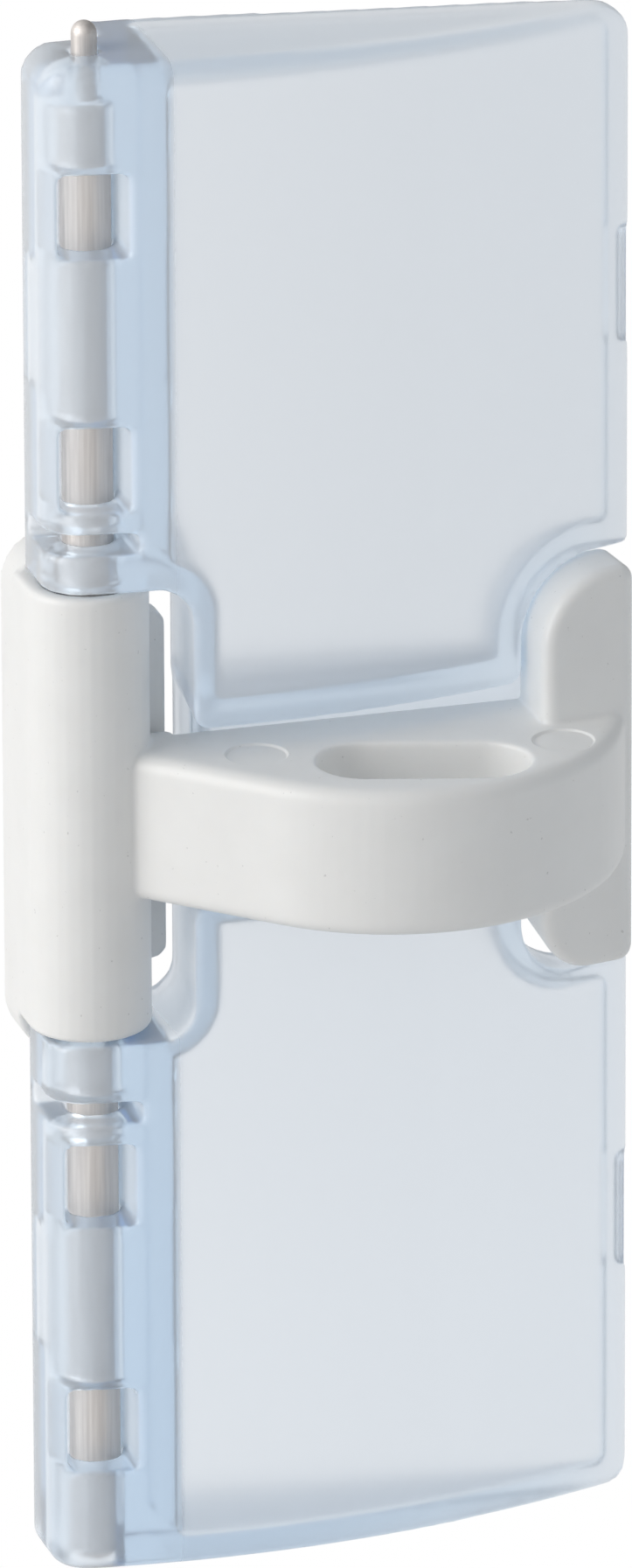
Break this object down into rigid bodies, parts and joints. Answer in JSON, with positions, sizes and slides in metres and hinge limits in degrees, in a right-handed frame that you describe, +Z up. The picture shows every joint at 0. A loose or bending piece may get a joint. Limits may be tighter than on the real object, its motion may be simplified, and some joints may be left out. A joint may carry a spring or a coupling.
{
  "type": "stair gate latch",
  "caption": "Clear moulded cover plate hinged on a steel pin, with a sprung white lever that swings out on the same pin.",
  "frame": {"origin": "on the pivot pin's axis, level with the foot of the cover plate", "axes": "+Z up the pin, +X across the plate to its free edge, +Y back towards the gate, so the front faces -Y"},
  "size_m": [0.049, 0.0257, 0.1264],
  "materials": {
    "clear_plastic": "clear, faintly blue, satin moulded",
    "pin_steel": "drawn and ground",
    "white_plastic": "satin",
    "spring_steel": "drawn wire"
  },
  "bodies": {
    "cover": {"cover_plate": "clear_plastic", "pivot_pin": "pin_steel", "torsion_spring": "spring_steel"},
    "lever": {"latch_lever": "white_plastic"}
  },
  "joints": [
    {"name": "lever_swing", "type": "hinge", "parent": "cover", "child": "lever", "pos_m": [0, 0, 0.062], "axis": [0, 0, -1], "range_deg": [0, 16], "stiffness_Nm_per_rad": 0.1, "springref_deg": -20.05, "deforming": ["torsion_spring"]}
  ]
}
